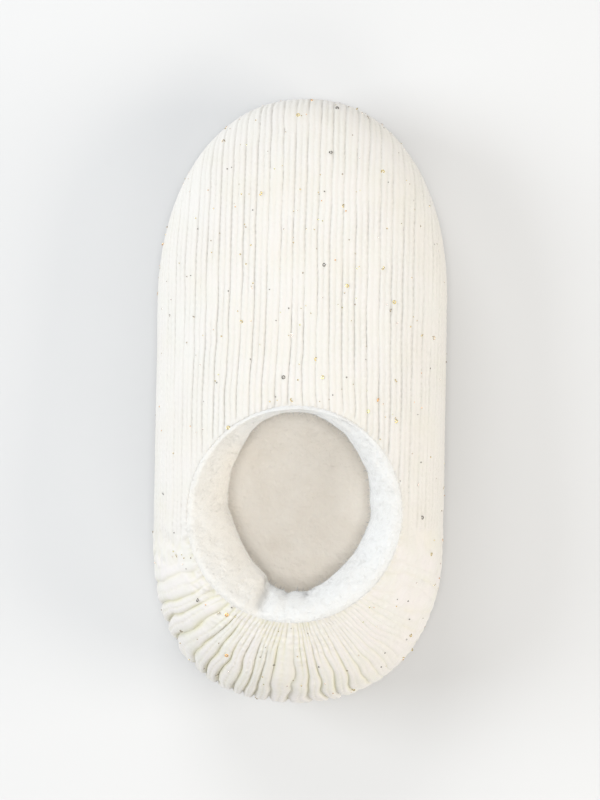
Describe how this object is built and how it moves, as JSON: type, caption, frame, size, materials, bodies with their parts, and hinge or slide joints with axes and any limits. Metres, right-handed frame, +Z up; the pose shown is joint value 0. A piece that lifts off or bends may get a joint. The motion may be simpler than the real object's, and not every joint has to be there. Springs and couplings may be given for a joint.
{
  "type": "slipper sock",
  "caption": "Low rib-knit slipper sock with a round toe, a gathered heel, an oval collar with a rolled plush lining, a padded insole and a soft flat sole.",
  "frame": {"origin": "on the floor under the middle of the outline, where the sole's flat underside rests", "axes": "+Y towards the toe, +X towards the inner side of the foot, +Z up"},
  "size_m": [0.1191, 0.245, 0.0653],
  "materials": {
    "knit": "cream rib knit with fine stitches and small sequins",
    "plush": "white long-pile plush, matte",
    "footbed": "warm white plush over foam, matte",
    "sole": "cream brushed cloth with soft grip dots"
  },
  "bodies": {
    "root": {"knit_upper": "knit", "plush_lining": "plush", "insole": "footbed", "outsole": "sole"}
  },
  "joints": []
}
